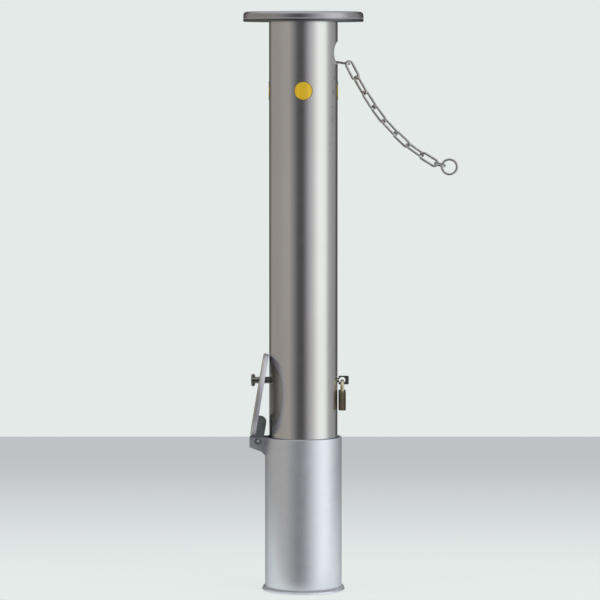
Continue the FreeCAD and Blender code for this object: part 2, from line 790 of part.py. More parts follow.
def chain_rotation(slope, roll):
    """Long way of the link down the slope; roll turns the link's plane about that line."""
    return turn(ACROSS, slope) * turn(ALONG, 90 + roll)


def slope_line(slope):
    return FreeCAD.Vector(math.cos(math.radians(slope)), 0, -math.sin(math.radians(slope)))


def make_chain():
    """Links hung end to end from the hook, then the small connector and the end ring.

    Where two pieces meet, one of the two lies nearer to the XZ plane, and the other's wire is the
    round pin that its bow turns about. Returns these pins: a point and a line for each pair, which
    lifts the chain for the first pair, lowers it for the second, and so on in turn.
    """
    wire, play = value("chain_wire"), value("link_play")
    inner = FreeCAD.Vector(value("hook_reach - hook_wire / 2"), 0, value(CHAIN_LEVEL))
    near = inner - slope_line(CHAIN_SLOPES[0]) * (play + wire) / 2
    names = [f"chain_link_{index}" for index in range(len(CHAIN_SLOPES))] + ["chain_connector"]
    slopes, turns = CHAIN_SLOPES + [CONNECTOR_SLOPE], CHAIN_TURNS + [CONNECTOR_TURN]
    pitches = ["link_pitch"] * len(CHAIN_SLOPES) + ["connector_pitch"]
    pivots = []
    far, last_line, last_normal = None, None, None
    for index, (name, slope, roll, pitch) in enumerate(zip(names, slopes, turns, pitches)):
        link = make_link(name, pitch)
        line = slope_line(slope)
        rotation = chain_rotation(slope, roll)
        normal = rotation.multVec(UP)
        lifting = 1 if index % 2 else -1
        if index in FLAT_AFTER:
            near = far - last_line * (wire + play)
            pivots.append((near, last_normal * lifting))
        elif far:
            near = far - line * (wire + play)
            pivots.append((far, -ACROSS if index == 1 else normal * lifting))
        far = near + line * value(f"{pitch} + link_play + chain_wire")
        link.Placement = FreeCAD.Placement((near + far) / 2, rotation)
        keep(link, name)
        last_line, last_normal = line, normal
    ring = primitive("Torus", "end_ring", Radius1="(ring_outer - chain_wire) / 2", Radius2="chain_wire / 2")
    centre = far + slope_line(RING_SLOPE) * value("ring_outer / 2 - 1.5 * chain_wire - link_play")
    ring.Placement = FreeCAD.Placement(centre, chain_rotation(RING_SLOPE, RING_TURN))
    keep(ring, "end_ring")
    pivots.append((far, -ring.Placement.Rotation.multVec(UP)))
    return pivots, centre


def check_and_write():
    doc.recompute()
    for thing in doc.Objects:
        assert not {"Invalid", "Error"} & set(thing.State), (thing.Name, thing.State)
    os.makedirs("parts", exist_ok=True)
    for part in parts:
        assert not part.Shape.isNull() and part.Shape.isValid(), part.Label
        part.Shape.exportStep(f"parts/{part.Label}.step")
        box = part.Shape.BoundBox
        print(f"{part.Label}: {part.Shape.Volume:.0f} mm3, {len(part.Shape.Solids)} solid,",
              f"x {box.XMin:.1f} {box.XMax:.1f}, y {box.YMin:.1f} {box.YMax:.1f},",
              f"z {box.ZMin:.1f} {box.ZMax:.1f}")


make_base_plate()
make_sleeve_tube()
make_ear("-1", "hinge_ear_front")
make_ear("1", "hinge_ear_back")
make_hinge_pin()
make_pin_clip()
make_lid_plate()
make_lid_ring()
make_lid_arm()
make_post_tube()
make_head_plate()
make_head_cap()
for dot_name, dot_degrees in (("reflector_right", 0), ("reflector_back", 90),
                              ("reflector_left", 180), ("reflector_front", 270)):
    make_reflector(dot_name, dot_degrees)
make_chain_hook()
make_lock_rod()
make_cross_bar()
make_shackle()
make_padlock_body()
make_padlock_plug()
chain_pivots, ring_centre = make_chain()
check_and_write()
print("lid leans", round(lid_lean(), 4))
print("padlock pivot", round(value(SHACKLE_AXIS), 4))
for number, (place, line) in enumerate(chain_pivots, start=1):
    print("chain pivot", number, *[round(c, 4) for c in (*place, *line)])
print("ring centre", *[round(c, 4) for c in ring_centre])
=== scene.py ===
import bpy
import json
import math
from mathutils import Matrix, Vector


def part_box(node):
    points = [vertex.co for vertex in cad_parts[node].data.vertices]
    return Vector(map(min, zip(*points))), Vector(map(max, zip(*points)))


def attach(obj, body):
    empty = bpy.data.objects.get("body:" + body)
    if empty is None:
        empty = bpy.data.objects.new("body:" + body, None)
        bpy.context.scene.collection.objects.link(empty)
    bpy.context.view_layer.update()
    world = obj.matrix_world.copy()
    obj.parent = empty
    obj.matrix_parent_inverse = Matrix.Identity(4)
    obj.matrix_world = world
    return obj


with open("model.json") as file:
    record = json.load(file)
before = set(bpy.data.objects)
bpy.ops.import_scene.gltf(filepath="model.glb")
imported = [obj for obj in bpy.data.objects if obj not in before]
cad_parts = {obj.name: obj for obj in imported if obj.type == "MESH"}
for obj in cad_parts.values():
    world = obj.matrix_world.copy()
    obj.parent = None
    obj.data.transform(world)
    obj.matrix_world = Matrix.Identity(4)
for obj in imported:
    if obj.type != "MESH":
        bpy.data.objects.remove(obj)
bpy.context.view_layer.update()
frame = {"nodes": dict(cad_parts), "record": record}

# Removable bollard: ground sleeve with a leaning lid, locked post, chain, flat head.
# Metres. The lid is on the -X side, the chain on +X, and the camera looks along +Y.

nodes = frame["nodes"]
scene = bpy.context.scene
scene.view_settings.view_transform = "Standard"
print("frame loaded:", len(nodes), "nodes")

backdropColour = (0.775, 0.823, 0.807, 1)   # pale greenish white


# camera

cameraView = {
    "place": (-0.005, -5.191, 0.778),
    "tiltDown": 3.8,      # degrees below level
    "lens": 210,
}

cameraData = bpy.data.cameras.new("camera")
cameraData.lens = cameraView["lens"]
cameraData.clip_end = 60
cameraObject = bpy.data.objects.new("camera", cameraData)
cameraObject.location = cameraView["place"]
cameraObject.rotation_euler = (math.radians(90 - cameraView["tiltDown"]), 0, 0)
scene.collection.objects.link(cameraObject)
scene.camera = cameraObject
print("camera set")


# node helpers

def addNode(tree, kind, inputs=None, **settings):
    node = tree.nodes.new("ShaderNode" + kind)
    for name, setting in settings.items():
        setattr(node, name, setting)
    for name, number in (inputs or {}).items():
        if isinstance(number, bpy.types.NodeSocket):
            tree.links.new(number, node.inputs[name])
        else:
            node.inputs[name].default_value = number
    return node


def rampOf(tree, factor, stops, smooth=False):
    ramp = addNode(tree, "ValToRGB", {"Fac": factor})
    ramp.color_ramp.interpolation = "EASE" if smooth else "LINEAR"
    marks = ramp.color_ramp.elements
    while len(marks) < len(stops):
        marks.new(0.5)
    for mark, (place, colour) in zip(marks, stops):
        mark.position = place
    for mark, (place, colour) in zip(marks, stops):
        mark.color = tuple(colour) + (1,) if len(colour) == 3 else colour
    return ramp.outputs["Color"]


def seenRay(tree):
    # one switch for the rays that should find the pale background
    path = addNode(tree, "LightPath")
    first = addNode(tree, "Math", {0: path.outputs["Is Camera Ray"], 1: path.outputs["Is Transmission Ray"]},
                    operation="MAXIMUM")
    second = addNode(tree, "Math", {0: first.outputs[0], 1: path.outputs["Is Glossy Ray"]}, operation="MAXIMUM")
    return path, second.outputs[0]


# studio: the world carries the tall soft boxes and the dark gap round the camera

studioBands = [
    # degrees from the camera towards the right, brightness, tint
    (-180, 0.04, (1.00, 1.00, 1.00)),
    (-148, 0.04, (1.00, 0.98, 0.96)),
    (-136, 0.38, (1.06, 0.99, 0.93)),
    (-90, 0.37, (1.07, 1.00, 0.91)),
    (-46, 0.46, (1.06, 1.00, 0.93)),
    (-37, 0.30, (0.99, 1.00, 1.02)),
    (-26, 0.20, (0.98, 1.00, 1.04)),
    (-19, 0.07, (0.98, 1.00, 1.02)),
    (3, 0.055, (1.00, 0.99, 1.05)),
    (8, 0.24, (1.03, 0.98, 1.07)),
    (22, 0.535, (1.01, 0.99, 1.04)),
    (34, 0.69, (1.00, 1.00, 1.01)),
    (41, 0.87, (1.00, 1.00, 1.01)),
    (49, 1.22, (0.965, 1.005, 0.985)),
    (80, 1.20, (0.965, 1.005, 0.985)),
    (93, 0.44, (0.99, 1.00, 1.01)),
    (126, 0.35, (1.00, 1.00, 1.01)),
    (134, 0.31, (1.00, 1.00, 1.00)),
    (144, 0.04, (1.05, 0.97, 1.03)),
    (180, 0.04, (1.00, 1.00, 1.00)),
]


def makeStudio():
    world = bpy.data.worlds.new("studio")
    scene.world = world
    world.use_nodes = True
    tree = world.node_tree
    tree.nodes.clear()
    towards = addNode(tree, "SeparateXYZ",
                      {0: addNode(tree, "TexCoord").outputs["Generated"]})
    ahead = addNode(tree, "Math", {0: towards.outputs["Y"], 1: -1}, operation="MULTIPLY")
    angle = addNode(tree, "Math", {0: towards.outputs["X"], 1: ahead.outputs[0]}, operation="ARCTAN2")
    factor = addNode(tree, "Math", {0: angle.outputs[0], 1: 1 / math.tau, 2: 0.5},
                     operation="MULTIPLY_ADD")
    stops = [(degrees / 360 + 0.5, tuple(level * part / 1.3 for part in tint))
             for degrees, level, tint in studioBands]
    bands = rampOf(tree, factor.outputs[0], stops)
    # overhead the bands give way to one even soft ceiling
    high = addNode(tree, "MapRange", {"Value": towards.outputs["Z"], "From Min": 0.35, "From Max": 0.8})
    sky = addNode(tree, "Mix", {"Factor": high.outputs["Result"], 6: bands, 7: (0.62, 0.64, 0.65, 1)},
                  data_type="RGBA")
    light = addNode(tree, "Background", {"Color": sky.outputs[2], "Strength": 1.3})
    # in the gloss the soft boxes and flags stand in front of the backdrop
    path, seen = seenRay(tree)
    boxes = addNode(tree, "VectorMath", {0: sky.outputs[2], "Scale": 1.3}, operation="SCALE")
    before = addNode(tree, "Mix", {"Factor": path.outputs["Is Glossy Ray"], 6: backdropColour,
                                   7: boxes.outputs[0]}, data_type="RGBA")
    plain = addNode(tree, "Background", {"Color": before.outputs[2], "Strength": 1})
    both = addNode(tree, "MixShader", {0: seen, 1: light.outputs[0], 2: plain.outputs[0]})
    out = addNode(tree, "OutputWorld", {"Surface": both.outputs[0]})
    return world


def addLamp(name, place, target, size, power, shows=False):
    lampData = bpy.data.lights.new(name, "AREA")
    lampData.shape = "RECTANGLE"
    lampData.size, lampData.size_y = size
    lampData.energy = power
    lamp = bpy.data.objects.new(name, lampData)
    lamp.location = place
    lamp.rotation_euler = (Vector(target) - Vector(place)).to_track_quat("-Z", "Y").to_euler()
    lamp.visible_glossy = shows
    scene.collection.objects.link(lamp)
    return lamp


makeStudio()
addLamp("fillRight", (2.2, -2.6, 1.9), (0, 0, 0.4), (1.6, 1.6), 62)
addLamp("fillLeft", (-2.4, -1.8, 1.5), (0, 0, 0.4), (1.4, 1.8), 34)
addLamp("overhead", (0.1, -0.2, 3.0), (0, 0, 0.4), (1.8, 1.8), 55)
print("studio lit")


# floor: pale in front, greyer towards its straight back edge; the greying is painted shade, where less light
# reaches

floorSheet = {
    "front": -0.14,
    "back": 2.17,
    "side": 0.86,
    "greyFrom": 0,
    "greyAt": 1.9,
    "greyColour": (0.527, 0.546, 0.565, 1),
    "sideFade": 0.2,       # the edges melt into the backdrop over these lengths
    "frontFade": 0.06,
}


def makeFloor():
    bpy.ops.object.select_all(action="DESELECT")
    bpy.ops.mesh.primitive_plane_add(size=1, location=(0, 0, -0.0004))
    floor = bpy.context.object
    floor.name = "floor"
    length = floorSheet["back"] - floorSheet["front"]
    floor.scale = (2 * floorSheet["side"], length, 1)
    floor.location.y = (floorSheet["back"] + floorSheet["front"]) / 2
    bpy.ops.object.transform_apply(location=True, scale=True)
    mat = bpy.data.materials.new("floorPaper")
    mat.use_nodes = True
    tree = mat.node_tree
    tree.nodes.clear()
    across = addNode(tree, "SeparateXYZ", {0: addNode(tree, "TexCoord").outputs["Object"]})
    grey = addNode(tree, "MapRange", {"Value": across.outputs["Y"], "From Min": floorSheet["greyFrom"],
                                      "From Max": floorSheet["greyAt"]}, interpolation_type="SMOOTHSTEP")
    colour = addNode(tree, "Mix", {"Factor": grey.outputs["Result"], 6: backdropColour,
                                   7: floorSheet["greyColour"]}, data_type="RGBA")
    paper = addNode(tree, "BsdfDiffuse", {"Color": colour.outputs[2]})
    glow = addNode(tree, "Emission", {"Color": colour.outputs[2], "Strength": 0.975})
    path, seen = seenRay(tree)
    share = addNode(tree, "Math", {0: seen, 1: 0.93}, operation="MULTIPLY")
    lit = addNode(tree, "MixShader", {0: share.outputs[0], 1: paper.outputs[0], 2: glow.outputs[0]})
    sideways = addNode(tree, "Math", {0: across.outputs["X"]}, operation="ABSOLUTE")
    nearSide = addNode(tree, "MapRange", {"Value": sideways.outputs[0],
                                          "From Min": floorSheet["side"] - floorSheet["sideFade"],
                                          "From Max": floorSheet["side"]}, interpolation_type="SMOOTHSTEP")
    nearFront = addNode(tree, "MapRange", {"Value": across.outputs["Y"],
                                           "From Min": floorSheet["front"] + floorSheet["frontFade"],
                                           "From Max": floorSheet["front"]}, interpolation_type="SMOOTHSTEP")
    edge = addNode(tree, "Math", {0: nearSide.outputs["Result"], 1: nearFront.outputs["Result"]},
                   operation="MAXIMUM")
    clear = addNode(tree, "BsdfTransparent")
    sheet = addNode(tree, "MixShader", {0: edge.outputs[0], 1: lit.outputs[0], 2: clear.outputs[0]})
    addNode(tree, "OutputMaterial", {"Surface": sheet.outputs[0]})
    floor.data.materials.append(mat)


makeFloor()
print("floor laid")


# finishes

def newFinish(name, colour, metal, rough, **sockets):
    mat = bpy.data.materials.new(name)
    mat.use_nodes = True
    tree = mat.node_tree
    shader = tree.nodes["Principled BSDF"]
    shader.inputs["Base Color"].default_value = (*colour, 1)
    shader.inputs["Metallic"].default_value = metal
    shader.inputs["Roughness"].default_value = rough
    for socket, number in sockets.items():
        shader.inputs[socket.replace("_", " ")].default_value = number
    return mat, tree, shader


def surfacePoint(tree, stretch=(1, 1, 1), shift=(0, 0, 0)):
    coords = addNode(tree, "TexCoord").outputs["Object"]
    return addNode(tree, "Mapping", {"Vector": coords, "Scale": stretch, "Location": shift}).outputs[0]


def grain(tree, stretch, scale=1, detail=3, rough=0.55):
    return addNode(tree, "TexNoise", {"Vector": surfacePoint(tree, stretch), "Scale": scale,
                                      "Detail": detail, "Roughness": rough}).outputs["Fac"]


def spread(tree, factor, low, high):
    return addNode(tree, "MapRange", {"Value": factor, "From Min": 0.3, "From Max": 0.7,
                                      "To Min": low, "To Max": high}).outputs["Result"]


def shade(tree, shader, factor, dark, light):
    colour = addNode(tree, "Mix", {"Factor": spread(tree, factor, 0, 1), 6: (*dark, 1), 7: (*light, 1)},
                     data_type="RGBA")
    tree.links.new(colour.outputs[2], shader.inputs["Base Color"])
    return colour.outputs[2]


def raise_(tree, shader, height, depth, strength=1):
    bump = addNode(tree, "Bump", {"Height": height, "Distance": depth, "Strength": strength})
    tree.links.new(bump.outputs["Normal"], shader.inputs["Normal"])
    return bump


postPolish = {
    "dark": (0.66, 0.65, 0.64),
    "light": (0.72, 0.715, 0.71),
    "rough": (0.17, 0.21),
    "lineStretch": (5, 5, 2600),
    "lineDepth": 0.0000015,
}


def makePostPolish():
    mat, tree, shader = newFinish("postPolish", postPolish["light"], 1, 0.28, Anisotropic=0.85)
    lines = grain(tree, postPolish["lineStretch"])
    patches = grain(tree, (7, 7, 4), 1, 4)
    shade(tree, shader, patches, postPolish["dark"], postPolish["light"])
    tree.links.new(spread(tree, lines, *postPolish["rough"]), shader.inputs["Roughness"])
    tangent = addNode(tree, "Tangent", direction_type="RADIAL", axis="Z")
    tree.links.new(tangent.outputs[0], shader.inputs["Tangent"])
    raise_(tree, shader, lines, postPolish["lineDepth"])
    return mat


headSatin = {
    "dark": (0.42, 0.405, 0.425),
    "light": (0.54, 0.52, 0.54),
    "rough": (0.26, 0.34),
    "metal": 1,
}
# painted shade: the head's underside is a dark copy of the satin, standing in for the shade and the dark floor it
# faces
underShadeSatin = dict(headSatin, dark=(0.13, 0.13, 0.135), light=(0.185, 0.185, 0.19), rough=(0.32, 0.40))


def makeHeadSatin(name, headSatin):
    mat, tree, shader = newFinish(name, headSatin["light"], headSatin["metal"], 0.34)
    patches = grain(tree, (9, 9, 9), 1, 4)
    shade(tree, shader, patches, headSatin["dark"], headSatin["light"])
    rings = addNode(tree, "TexWave", {"Vector": surfacePoint(tree), "Scale": 380, "Distortion": 1.5,
                                      "Detail": 2, "Detail Scale": 0.4},
                    wave_type="RINGS", rings_direction="Z").outputs["Fac"]
    tree.links.new(spread(tree, rings, *headSatin["rough"]), shader.inputs["Roughness"])
    raise_(tree, shader, rings, 0.000006, 0.6)
    return mat


galvanising = {
    "dark": (0.77, 0.80, 0.86),
    "light": (0.84, 0.87, 0.93),
    "rough": (0.335, 0.38),
    "metal": 0.94,
    "edge": 0.1,        # how much of the gloss is left where it is seen edge on
    "spangle": 95,      # zinc flowers to a metre
}
dullZinc = dict(galvanising, metal=0.5, edge=1, rough=(0.36, 0.44))
lidZinc = dict(dullZinc, metal=0.8, dark=(0.42, 0.405, 0.37), light=(0.53, 0.51, 0.47), rough=(0.38, 0.46))
ringZinc = dict(dullZinc, dark=(0.42, 0.405, 0.455), light=(0.53, 0.51, 0.565))
plateZinc = dict(galvanising, edge=1)
# painted shade: the lid's arm sits between the ears in shade, so its zinc is made dark
armShadeZinc = dict(dullZinc, dark=(0.14, 0.16, 0.155), light=(0.22, 0.24, 0.235))
# painted shade: the hinge ears are a dark copy of the sleeve's zinc
earShadeZinc = dict(dullZinc, dark=(0.23, 0.24, 0.255), light=(0.34, 0.35, 0.37))


def makeGalvanising(name, galvanising, turned=0):
    # turned: how far the gloss is drawn out round the tube
    mat, tree, shader = newFinish(name, galvanising["light"], galvanising["metal"], 0.3, Anisotropic=turned,
                                  Specular_Tint=(galvanising["edge"],) * 3 + (1,))
    if turned:
        tangent = addNode(tree, "Tangent", direction_type="RADIAL", axis="Z")
        tree.links.new(tangent.outputs[0], shader.inputs["Tangent"])
    flowers = addNode(tree, "TexVoronoi", {"Vector": surfacePoint(tree), "Scale": galvanising["spangle"]},
                      feature="F1")
    clouds = grain(tree, (14, 14, 8), 1, 5, 0.6)
    tone = addNode(tree, "SeparateColor", {0: flowers.outputs["Color"]}).outputs[0]
    mixed = addNode(tree, "Mix", {"Factor": 0.85, 2: tone, 3: clouds}, data_type="FLOAT").outputs[0]
    shade(tree, shader, mixed, galvanising["dark"], galvanising["light"])
    tree.links.new(spread(tree, mixed, *galvanising["rough"]), shader.inputs["Roughness"])
    pits = grain(tree, (700, 700, 700), 1, 4, 0.6)
    raise_(tree, shader, pits, 0.00006, 0.25)
    return mat


reflectorFace = {
    "dark": (0.50, 0.31, 0.012),
    "light": (0.66, 0.45, 0.02),
    "rim": (0.10, 0.075, 0.03),
    "rimFrom": 0.0127,      # where the dark moulded rim begins, from the middle
    "middle": 0.744,
    "prisms": 620,
}


def makeReflectorFace():
    mat, tree, shader = newFinish("reflectorFace", reflectorFace["light"], 0, 0.38)
    shader.inputs["Coat Weight"].default_value = 0.5
    shader.inputs["Coat Roughness"].default_value = 0.12
    prisms = addNode(tree, "TexVoronoi", {"Vector": surfacePoint(tree), "Scale": reflectorFace["prisms"],
                                          "Randomness": 0.15}, feature="F1").outputs["Distance"]
    yellow = shade(tree, shader, prisms, reflectorFace["dark"], reflectorFace["light"])
    # how far a point is from the middle of its own reflector
    point = addNode(tree, "SeparateXYZ", {0: surfacePoint(tree)})
    sides = [addNode(tree, "Math", {0: point.outputs[axis]}, operation="ABSOLUTE").outputs[0] for axis in "XY"]
    beside = addNode(tree, "Math", {0: sides[0], 1: sides[1]}, operation="MINIMUM")
    above = addNode(tree, "Math", {0: point.outputs["Z"], 1: reflectorFace["middle"]}, operation="SUBTRACT")
    offset = addNode(tree, "CombineXYZ", {0: beside.outputs[0], 1: above.outputs[0]})
    far = addNode(tree, "VectorMath", {0: offset.outputs[0]}, operation="LENGTH")
    rim = addNode(tree, "MapRange", {"Value": far.outputs["Value"], "From Min": reflectorFace["rimFrom"],
                                     "From Max": reflectorFace["rimFrom"] + 0.0003})
    edged = addNode(tree, "Mix", {"Factor": rim.outputs["Result"], 6: yellow, 7: (*reflectorFace["rim"], 1)},
                    data_type="RGBA")
    tree.links.new(edged.outputs[2], shader.inputs["Base Color"])
    raise_(tree, shader, prisms, 0.0002, 0.5)
    return mat


# painted reflection: the rod's dark tone stands in for the dark surroundings that its steel reflects
rodTurning = {
    "dark": (0.20, 0.19, 0.18),
    "light": (0.34, 0.32, 0.31),
    "rough": (0.26, 0.36),
}


def makeRodTurning():
    mat, tree, shader = newFinish("rodTurning", rodTurning["light"], 1, 0.3)
    rings = grain(tree, (3200, 60, 60))
    patches = grain(tree, (60, 60, 60), 1, 4)
    shade(tree, shader, patches, rodTurning["dark"], rodTurning["light"])
    tree.links.new(spread(tree, rings, *rodTurning["rough"]), shader.inputs["Roughness"])
    raise_(tree, shader, rings, 0.00001)
    return mat


# painted shade: the pin is made dark, standing in for the shade on its domed head round the bright middle
pinZinc = {
    "dark": (0.12, 0.12, 0.128),
    "light": (0.20, 0.20, 0.212),
    "rough": (0.30, 0.44),
}


def makePinZinc(name, pinZinc):
    mat, tree, shader = newFinish(name, pinZinc["light"], 1, 0.36)
    patches = grain(tree, (220, 220, 220), 1, 5)
    shade(tree, shader, patches, pinZinc["dark"], pinZinc["light"])
    tree.links.new(spread(tree, patches, *pinZinc["rough"]), shader.inputs["Roughness"])
    raise_(tree, shader, grain(tree, (900, 900, 900)), 0.00003, 0.4)
    return mat


padlockBrass = {
    "dark": (0.14, 0.115, 0.065),
    "light": (0.24, 0.205, 0.135),
    "rough": (0.30, 0.42),
    "middle": 0.0578,
    "flat": 0.0026,                         # half the clean width of the narrow sides
    "leftEdgeShade": (0.045, 0.045, 0.036),      # painted shade on the rounded edges, where the body turns away
    "rightEdgeShade": (0.045, 0.045, 0.036),
    "side": 0.00515,
    "tarnish": (0.20, 0.135, 0.10),         # browner towards the lower end
    "wideFaceHighlight": (0.60, 0.49, 0.23),         # painted highlight: the two wide faces are made brighter
}


def makePadlockBrass(name, padlockBrass):
    mat, tree, shader = newFinish(name, padlockBrass["light"], 0.6, 0.3)
    patches = grain(tree, (90, 90, 60), 1, 5, 0.6)
    lines = grain(tree, (2200, 2200, 40))
    brass = shade(tree, shader, patches, padlockBrass["dark"], padlockBrass["light"])
    point = addNode(tree, "SeparateXYZ", {0: surfacePoint(tree)})
    low = addNode(tree, "MapRange", {"Value": point.outputs["Z"], "From Min": 0.2850, "From Max": 0.2765,
                                     "To Max": 0.8}, interpolation_type="SMOOTHSTEP")
    brass = addNode(tree, "Mix", {"Factor": low.outputs["Result"], 6: brass, 7: (*padlockBrass["tarnish"], 1)},
                    data_type="RGBA").outputs[2]
    out = point.outputs["X"]
    # painted shade along the rounded edges of the narrow side
    for name, way in (("leftEdgeShade", -1), ("rightEdgeShade", 1)):
        start = padlockBrass["middle"] + way * padlockBrass["flat"]
        face = padlockBrass["middle"] + way * padlockBrass["side"]
        rising = addNode(tree, "MapRange", {"Value": out, "From Min": start, "From Max": start + way * 0.0009})
        ending = addNode(tree, "MapRange", {"Value": out, "From Min": face - way * 0.0001,
                                            "From Max": face - way * 0.0004})
        edgeShade = addNode(tree, "Math", {0: rising.outputs["Result"], 1: ending.outputs["Result"]},
                       operation="MULTIPLY")
        brass = addNode(tree, "Mix", {"Factor": edgeShade.outputs[0], 6: brass, 7: (*padlockBrass[name], 1)},
                        data_type="RGBA").outputs[2]
    # painted highlight: the wide faces get a brighter brass
    offMiddle = addNode(tree, "Math", {0: out, 1: padlockBrass["middle"]}, operation="SUBTRACT")
    sideways = addNode(tree, "Math", {0: offMiddle.outputs[0]}, operation="ABSOLUTE")
    paintedHighlight = addNode(tree, "MapRange", {"Value": sideways.outputs[0], "From Min": 0.00515, "From Max": 0.0054})
    brass = addNode(tree, "Mix", {"Factor": paintedHighlight.outputs["Result"], 6: brass, 7: (*padlockBrass["wideFaceHighlight"], 1)},
                    data_type="RGBA").outputs[2]
    tree.links.new(brass, shader.inputs["Base Color"])
    tree.links.new(spread(tree, lines, *padlockBrass["rough"]), shader.inputs["Roughness"])
    raise_(tree, shader, lines, 0.000012)
    return mat


shackleMetal = {
    "dark": (0.62, 0.54, 0.36),
    "light": (0.90, 0.84, 0.62),
    "rough": (0.16, 0.24),
}


def makeShackleMetal():
    mat, tree, shader = newFinish("shackleMetal", shackleMetal["light"], 1, 0.2)
    patches = grain(tree, (120, 120, 120), 1, 4)
    shade(tree, shader, patches, shackleMetal["dark"], shackleMetal["light"])
    tree.links.new(spread(tree, patches, *shackleMetal["rough"]), shader.inputs["Roughness"])
    raise_(tree, shader, grain(tree, (1500, 1500, 300)), 0.000006)
    return mat


chainPolish = {
    "dark": (0.42, 0.40, 0.40),
    "light": (0.66, 0.64, 0.64),
    "rough": (0.22, 0.34),
}


def makeChainPolish():
    mat, tree, shader = newFinish("chainPolish", chainPolish["light"], 1, 0.18)
    patches = grain(tree, (160, 160, 160), 1, 5)
    shade(tree, shader, patches, chainPolish["dark"], chainPolish["light"])
    tree.links.new(spread(tree, patches, *chainPolish["rough"]), shader.inputs["Roughness"])
    raise_(tree, shader, grain(tree, (1400, 1400, 1400)), 0.00001, 0.5)
    return mat


finishes = {
    "post_stainless": makePostPolish(),
    "head_stainless": makeHeadSatin("headSatin", headSatin),
    "galvanised": makeGalvanising("galvanising", galvanising, 0.7),
    "reflector_yellow": makeReflectorFace(),
    "rod_stainless": makeRodTurning(),
    "pin_steel": makePinZinc("pinZinc", pinZinc),
    "padlock_brass": makePadlockBrass("padlockBrass", padlockBrass),
    "shackle_metal": makeShackleMetal(),
    "chain_stainless": makeChainPolish(),
}
# the foot, the hinge, the lid and the head's underside are duller than the rest; the hinge ears, the lid's arm and
# the head's underside are also made dark, which is painted shade
earShadeFinish = makeGalvanising("earShadeZinc", earShadeZinc)
dullAndShaded = {
    "base_plate": makeGalvanising("plateZinc", plateZinc),
    "head_plate": makeHeadSatin("underShadeSatin", underShadeSatin),
    "lid_plate": makeGalvanising("lidZinc", lidZinc),
    "lid_ring": makeGalvanising("ringZinc", ringZinc),
    "lid_arm": makeGalvanising("armShadeZinc", armShadeZinc),
    "hinge_ear_front": earShadeFinish,
    "hinge_ear_back": earShadeFinish,
}
for subpart in frame["record"]["subparts"]:
    slots = nodes[subpart["node"]].data.materials
    slots.clear()
    slots.append(dullAndShaded.get(subpart["node"], finishes[subpart["material_slot"]]))
print("finishes on", len(finishes), "slots")


# small pieces: weld beads, seams, plugs

def begin():
    bpy.ops.object.select_all(action="DESELECT")


def endPiece(name, body, mat, smooth=40):
    piece = bpy.context.object
    piece.name = name
    begin()
    piece.select_set(True)
    bpy.ops.object.transform_apply(location=True, rotation=True, scale=True)
    bpy.ops.object.mode_set(mode="EDIT")
    bpy.ops.mesh.select_all(action="SELECT")
    bpy.ops.mesh.normals_make_consistent(inside=False)
    bpy.ops.object.mode_set(mode="OBJECT")
    bpy.ops.object.shade_smooth_by_angle(angle=math.radians(smooth))
    piece.data.materials.clear()
    piece.data.materials.append(mat)
    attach(piece, body)
    return piece


def ripple(place, size, turned=(0, 0, 0)):
    # one scale of a weld, a ball squashed and drawn out to one side
    begin()
    bpy.ops.mesh.primitive_uv_sphere_add(segments=10, ring_count=6, radius=1, location=place, scale=size,
                                         rotation=[math.radians(degrees) for degrees in turned])
    bpy.ops.object.transform_apply(location=True, rotation=True, scale=True)
    return bpy.context.object


def rowOf(piece, count, step):
    along = piece.modifiers.new("along", "ARRAY")
    along.count = count
    along.use_relative_offset = False
    along.use_constant_offset = True
    along.constant_offset_displace = step
    bpy.ops.object.modifier_apply(modifier=along.name)


def ringOf(piece, count):
    turner = bpy.data.objects.new("turner", None)
    scene.collection.objects.link(turner)
    turner.rotation_euler.z = math.tau / count
    around = piece.modifiers.new("around", "ARRAY")
    around.count = count
    around.use_relative_offset = False
    around.use_object_offset = True
    around.offset_object = turner
    bpy.context.view_layer.update()
    bpy.ops.object.modifier_apply(modifier=around.name)
    bpy.data.objects.remove(turner)


def mirrorAcross(piece):
    other = piece.modifiers.new("other", "MIRROR")
    other.use_axis = (False, True, False)
    other.use_clip = False
    other.use_mirror_merge = False
    bpy.ops.object.modifier_apply(modifier=other.name)


weldZinc = makeGalvanising("weldZinc", dict(
    galvanising, metal=0.85, edge=1, dark=(0.34, 0.345, 0.37), light=(0.48, 0.485, 0.52)))

footBead = {
    "radius": 0.0588,
    "height": 0.0049,
    "scale": (0.0021, 0.0019, 0.0016),
    "lean": 40,
    "count": 132,
}


def makeFootBead():
    bead = ripple((footBead["radius"], 0, footBead["height"]), footBead["scale"], (0, footBead["lean"], 0))
    ringOf(bead, footBead["count"])
    endPiece("foot_bead", "sleeve", weldZinc)


earBead = {
    "place": (-0.0554, -0.0158, 0.2040),
    "scale": (0.0015, 0.0012, 0.0012),
    "count": 18,
    "step": 0.0014,
}


def makeEarBead():
    bead = ripple(earBead["place"], earBead["scale"], (25, 0, 20))
    rowOf(bead, earBead["count"], (0, 0, earBead["step"]))
    mirrorAcross(bead)
    endPiece("ear_bead", "sleeve", weldZinc)


armBead = {
    "hinge": (-0.0673, 0, 0.224),
    "swing": 9.6267 - 90,      # degrees from shut
    "start": (0.0072, -0.0105, 0.0052),
    "scale": (0.0011, 0.0013, 0.0010),
    "count": 8,
    "step": 0.00125,
}


def makeArmBead():
    # drawn with the lid shut and its hinge at the origin, then swung up with it
    bead = ripple(armBead["start"], armBead["scale"], (0, 0, 25))
    rowOf(bead, armBead["count"], (armBead["step"], 0, 0))
    mirrorAcross(bead)
    bead.rotation_euler = (0, math.radians(armBead["swing"]), 0)
    bead.location = armBead["hinge"]
    endPiece("arm_bead", "lid", weldZinc)


makeFootBead()
makeEarBead()
makeArmBead()
print("welds laid")


headSeam = {
    "radius": 0.0882,
    "height": 0.8498,
    "wire": 0.00078,
}


